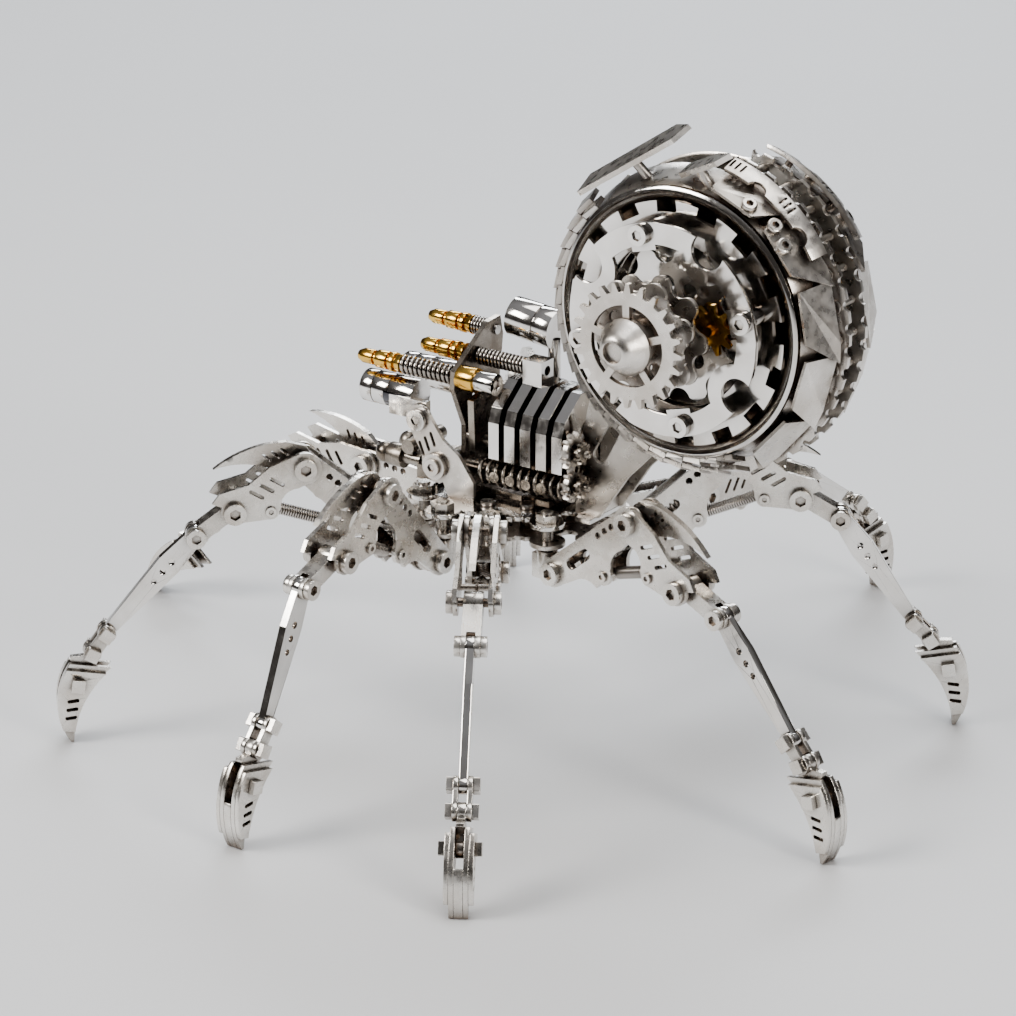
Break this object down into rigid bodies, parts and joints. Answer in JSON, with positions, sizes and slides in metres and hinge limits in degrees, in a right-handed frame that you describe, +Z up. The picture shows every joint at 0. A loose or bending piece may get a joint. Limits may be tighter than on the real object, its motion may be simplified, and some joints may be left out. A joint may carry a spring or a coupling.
{
  "type": "mechanical spider",
  "caption": "Mechanical spider standing on jointed plate legs, with an engine-like thorax, sprung nozzles and a round geared abdomen under overlapping tiles.",
  "frame": {"origin": "centre of the standing footprint's box, on the ground under the claws", "axes": "+Z up; the head points along -X, the spider's left is -Y and the abdomen is at +X"},
  "size_m": [0.244, 0.2384, 0.1677],
  "materials": {
    "plate": "satin brushed stainless plate",
    "mirror": "mirror polished stainless",
    "legs": "bright rolled stainless plate",
    "dark": "darker turned steel",
    "brass": "polished brass"
  },
  "bodies": {
    "body": {"base_plate_upper": "mirror", "base_plate_lower": "plate", "base_hardware": "plate", "engine_frame": "dark", "engine_fins": "mirror", "head_brackets": "plate", "jaw_cluster": "dark", "top_barrel": "mirror", "abdomen_frame": "plate", "drum_rims": "mirror", "drum_dishes": "mirror", "armour_tiles": "plate", "back_plates": "plate"},
    "eye_left": {"eye_lamp_left": "mirror"},
    "eye_right": {"eye_lamp_right": "mirror"},
    "nozzle_left_slide": {"nozzle_left": "brass"},
    "nozzle_middle_slide": {"nozzle_middle": "brass"},
    "nozzle_right_slide": {"nozzle_right": "brass"},
    "hub": {"hub_gears": "plate"},
    "idler": {"idler_gear": "brass"},
    "coxa_L1": {"coxa_L1": "legs"},
    "femur_L1": {"femur_L1": "legs"},
    "patella_L1": {"patella_L1": "legs"},
    "tibia_L1": {"tibia_L1": "mirror"},
    "foot_L1": {"foot_L1": "legs"},
    "coxa_L2": {"coxa_L2": "legs"},
    "femur_L2": {"femur_L2": "legs"},
    "patella_L2": {"patella_L2": "legs"},
    "tibia_L2": {"tibia_L2": "mirror"},
    "foot_L2": {"foot_L2": "legs"},
    "coxa_L3": {"coxa_L3": "legs"},
    "femur_L3": {"femur_L3": "legs"},
    "patella_L3": {"patella_L3": "legs"},
    "tibia_L3": {"tibia_L3": "mirror"},
    "foot_L3": {"foot_L3": "legs"},
    "coxa_L4": {"coxa_L4": "legs"},
    "femur_L4": {"femur_L4": "legs"},
    "patella_L4": {"patella_L4": "legs"},
    "tibia_L4": {"tibia_L4": "mirror"},
    "foot_L4": {"foot_L4": "legs"},
    "coxa_R4": {"coxa_R4": "legs"},
    "femur_R4": {"femur_R4": "legs"},
    "patella_R4": {"patella_R4": "legs"},
    "tibia_R4": {"tibia_R4": "mirror"},
    "foot_R4": {"foot_R4": "legs"},
    "coxa_R3": {"coxa_R3": "legs"},
    "femur_R3": {"femur_R3": "legs"},
    "patella_R3": {"patella_R3": "legs"},
    "tibia_R3": {"tibia_R3": "mirror"},
    "foot_R3": {"foot_R3": "legs"},
    "coxa_R2": {"coxa_R2": "legs"},
    "femur_R2": {"femur_R2": "legs"},
    "patella_R2": {"patella_R2": "legs"},
    "tibia_R2": {"tibia_R2": "mirror"},
    "foot_R2": {"foot_R2": "legs"},
    "coxa_R1": {"coxa_R1": "legs"},
    "femur_R1": {"femur_R1": "legs"},
    "patella_R1": {"patella_R1": "legs"},
    "tibia_R1": {"tibia_R1": "mirror"},
    "foot_R1": {"foot_R1": "legs"}
  },
  "joints": [
    {"name": "L1_coxa_yaw", "type": "hinge", "parent": "body", "child": "coxa_L1", "pos_m": [-0.00884, -0.02789, 0.055], "axis": [0, 0, 1], "range_deg": [-12, 12]},
    {"name": "L1_lift", "type": "hinge", "parent": "coxa_L1", "child": "femur_L1", "pos_m": [-0.01244, -0.03136, 0.05], "axis": [-0.6947, 0.7193, 0], "range_deg": [-12, 10]},
    {"name": "L1_knee", "type": "hinge", "parent": "femur_L1", "child": "patella_L1", "pos_m": [-0.03051, -0.04881, 0.07046], "axis": [-0.6947, 0.7193, 0], "range_deg": [-15, 15]},
    {"name": "L1_shin", "type": "hinge", "parent": "patella_L1", "child": "tibia_L1", "pos_m": [-0.05008, -0.06771, 0.05292], "axis": [-0.6947, 0.7193, 0], "range_deg": [-20, 15]},
    {"name": "L1_ankle", "type": "hinge", "parent": "tibia_L1", "child": "foot_L1", "pos_m": [-0.06651, -0.08358, 0.02842], "axis": [-0.6947, 0.7193, 0], "range_deg": [-20, 20]},
    {"name": "L2_coxa_yaw", "type": "hinge", "parent": "body", "child": "coxa_L2", "pos_m": [0.00273, -0.03599, 0.055], "axis": [0, 0, 1], "range_deg": [-12, 12]},
    {"name": "L2_lift", "type": "hinge", "parent": "coxa_L2", "child": "femur_L2", "pos_m": [0.00256, -0.04099, 0.05], "axis": [-0.9994, 0.0349, 0], "range_deg": [-12, 10]},
    {"name": "L2_knee", "type": "hinge", "parent": "femur_L2", "child": "patella_L2", "pos_m": [0.00181, -0.06249, 0.07423], "axis": [-0.9994, 0.0349, 0], "range_deg": [-15, 15]},
    {"name": "L2_shin", "type": "hinge", "parent": "patella_L2", "child": "tibia_L2", "pos_m": [0.00084, -0.09015, 0.05789], "axis": [-0.9994, 0.0349, 0], "range_deg": [-20, 15]},
    {"name": "L2_ankle", "type": "hinge", "parent": "tibia_L2", "child": "foot_L2", "pos_m": [0.00033, -0.10483, 0.02778], "axis": [-0.9994, 0.0349, 0], "range_deg": [-20, 20]},
    {"name": "L3_coxa_yaw", "type": "hinge", "parent": "body", "child": "coxa_L3", "pos_m": [0.01687, -0.03599, 0.055], "axis": [0, 0, 1], "range_deg": [-12, 12]},
    {"name": "L3_lift", "type": "hinge", "parent": "coxa_L3", "child": "femur_L3", "pos_m": [0.01944, -0.04028, 0.05], "axis": [-0.8572, -0.515, 0], "range_deg": [-12, 10]},
    {"name": "L3_knee", "type": "hinge", "parent": "femur_L3", "child": "patella_L3", "pos_m": [0.03247, -0.06196, 0.07025], "axis": [-0.8572, -0.515, 0], "range_deg": [-15, 15]},
    {"name": "L3_shin", "type": "hinge", "parent": "patella_L3", "child": "tibia_L3", "pos_m": [0.04616, -0.08474, 0.05177], "axis": [-0.8572, -0.515, 0], "range_deg": [-20, 15]},
    {"name": "L3_ankle", "type": "hinge", "parent": "tibia_L3", "child": "foot_L3", "pos_m": [0.05724, -0.10319, 0.0261], "axis": [-0.8572, -0.515, 0], "range_deg": [-20, 20]},
    {"name": "L4_coxa_yaw", "type": "hinge", "parent": "body", "child": "coxa_L4", "pos_m": [0.02844, -0.02789, 0.055], "axis": [0, 0, 1], "range_deg": [-12, 12]},
    {"name": "L4_lift", "type": "hinge", "parent": "coxa_L4", "child": "femur_L4", "pos_m": [0.03338, -0.02867, 0.05], "axis": [-0.1564, -0.9877, 0], "range_deg": [-12, 10]},
    {"name": "L4_knee", "type": "hinge", "parent": "femur_L4", "child": "patella_L4", "pos_m": [0.05859, -0.03266, 0.06996], "axis": [-0.1564, -0.9877, 0], "range_deg": [-15, 15]},
    {"name": "L4_shin", "type": "hinge", "parent": "patella_L4", "child": "tibia_L4", "pos_m": [0.08498, -0.03684, 0.0523], "axis": [-0.1564, -0.9877, 0], "range_deg": [-20, 15]},
    {"name": "L4_ankle", "type": "hinge", "parent": "tibia_L4", "child": "foot_L4", "pos_m": [0.10712, -0.04035, 0.0274], "axis": [-0.1564, -0.9877, 0], "range_deg": [-20, 20]},
    {"name": "R4_coxa_yaw", "type": "hinge", "parent": "body", "child": "coxa_R4", "pos_m": [0.02844, 0.00073, 0.055], "axis": [0, 0, 1], "range_deg": [-12, 12]},
    {"name": "R4_lift", "type": "hinge", "parent": "coxa_R4", "child": "femur_R4", "pos_m": [0.03268, 0.00337, 0.05], "axis": [0.5299, -0.848, 0], "range_deg": [-12, 10]},
    {"name": "R4_knee", "type": "hinge", "parent": "femur_R4", "child": "patella_R4", "pos_m": [0.05316, 0.01617, 0.0716], "axis": [0.5299, -0.848, 0], "range_deg": [-15, 15]},
    {"name": "R4_shin", "type": "hinge", "parent": "patella_R4", "child": "tibia_R4", "pos_m": [0.07671, 0.03089, 0.05492], "axis": [0.5299, -0.848, 0], "range_deg": [-20, 15]},
    {"name": "R4_ankle", "type": "hinge", "parent": "tibia_R4", "child": "foot_R4", "pos_m": [0.09301, 0.04107, 0.02747], "axis": [0.5299, -0.848, 0], "range_deg": [-20, 20]},
    {"name": "R3_coxa_yaw", "type": "hinge", "parent": "body", "child": "coxa_R3", "pos_m": [0.01687, 0.00883, 0.055], "axis": [0, 0, 1], "range_deg": [-12, 12]},
    {"name": "R3_lift", "type": "hinge", "parent": "coxa_R3", "child": "femur_R3", "pos_m": [0.01791, 0.01372, 0.05], "axis": [0.9781, -0.2079, 0], "range_deg": [-12, 10]},
    {"name": "R3_knee", "type": "hinge", "parent": "femur_R3", "child": "patella_R3", "pos_m": [0.02459, 0.04517, 0.04596], "axis": [0.9781, -0.2079, 0], "range_deg": [-15, 15]},
    {"name": "R3_shin", "type": "hinge", "parent": "patella_R3", "child": "tibia_R3", "pos_m": [0.03132, 0.07685, 0.04519], "axis": [0.9781, -0.2079, 0], "range_deg": [-20, 15]},
    {"name": "R3_ankle", "type": "hinge", "parent": "tibia_R3", "child": "foot_R3", "pos_m": [0.03729, 0.10494, 0.02793], "axis": [0.9781, -0.2079, 0], "range_deg": [-20, 20]},
    {"name": "R2_coxa_yaw", "type": "hinge", "parent": "body", "child": "coxa_R2", "pos_m": [0.00273, 0.00883, 0.055], "axis": [0, 0, 1], "range_deg": [-12, 12]},
    {"name": "R2_lift", "type": "hinge", "parent": "coxa_R2", "child": "femur_R2", "pos_m": [-0.00061, 0.01255, 0.05], "axis": [0.7431, 0.6691, 0], "range_deg": [-12, 10]},
    {"name": "R2_knee", "type": "hinge", "parent": "femur_R2", "child": "patella_R2", "pos_m": [-0.01532, 0.02888, 0.0738], "axis": [0.7431, 0.6691, 0], "range_deg": [-15, 15]},
    {"name": "R2_shin", "type": "hinge", "parent": "patella_R2", "child": "tibia_R2", "pos_m": [-0.0334, 0.04896, 0.05595], "axis": [0.7431, 0.6691, 0], "range_deg": [-20, 15]},
    {"name": "R2_ankle", "type": "hinge", "parent": "tibia_R2", "child": "foot_R2", "pos_m": [-0.04625, 0.06324, 0.02851], "axis": [0.7431, 0.6691, 0], "range_deg": [-20, 20]},
    {"name": "R1_coxa_yaw", "type": "hinge", "parent": "body", "child": "coxa_R1", "pos_m": [-0.00884, 0.00073, 0.055], "axis": [0, 0, 1], "range_deg": [-12, 12]},
    {"name": "R1_lift", "type": "hinge", "parent": "coxa_R1", "child": "femur_R1", "pos_m": [-0.01384, 0.00068, 0.05], "axis": [-0.0087, 1, 0], "range_deg": [-12, 10]},
    {"name": "R1_knee", "type": "hinge", "parent": "femur_R1", "child": "patella_R1", "pos_m": [-0.04609, 0.0004, 0.05316], "axis": [-0.0087, 1, 0], "range_deg": [-15, 15]},
    {"name": "R1_shin", "type": "hinge", "parent": "patella_R1", "child": "tibia_R1", "pos_m": [-0.07527, 0.00015, 0.04367], "axis": [-0.0087, 1, 0], "range_deg": [-20, 15]},
    {"name": "R1_ankle", "type": "hinge", "parent": "tibia_R1", "child": "foot_R1", "pos_m": [-0.1013, -0.00008, 0.02259], "axis": [-0.0087, 1, 0], "range_deg": [-20, 20]},
    {"name": "eye_left_tilt", "type": "hinge", "parent": "body", "child": "eye_left", "pos_m": [-0.0102, -0.02558, 0.08], "axis": [0, 1, 0], "range_deg": [-15, 1]},
    {"name": "eye_right_tilt", "type": "hinge", "parent": "body", "child": "eye_right", "pos_m": [-0.0102, -0.00158, 0.08], "axis": [0, 1, 0], "range_deg": [-15, 1]},
    {"name": "nozzle_left_push", "type": "slide", "parent": "body", "child": "nozzle_left_slide", "axis": [1, 0, 0], "range_m": [0, 0.003], "stiffness_N_per_m": 120},
    {"name": "nozzle_middle_push", "type": "slide", "parent": "body", "child": "nozzle_middle_slide", "axis": [1, 0, 0], "range_m": [0, 0.002], "stiffness_N_per_m": 120},
    {"name": "nozzle_right_push", "type": "slide", "parent": "body", "child": "nozzle_right_slide", "axis": [1, 0, 0], "range_m": [0, 0.003], "stiffness_N_per_m": 120},
    {"name": "hub_spin", "type": "hinge", "parent": "body", "child": "hub", "pos_m": [0.066, -0.01358, 0.1196], "axis": [0, 1, 0], "continuous": true},
    {"name": "idler_spin", "type": "hinge", "parent": "body", "child": "idler", "pos_m": [0.07827, -0.01358, 0.12132], "axis": [0, 1, 0], "continuous": true}
  ],
  "couplings": [
    {"joint": "idler_spin", "follows": "hub_spin", "ratio": -1.3333}
  ]
}
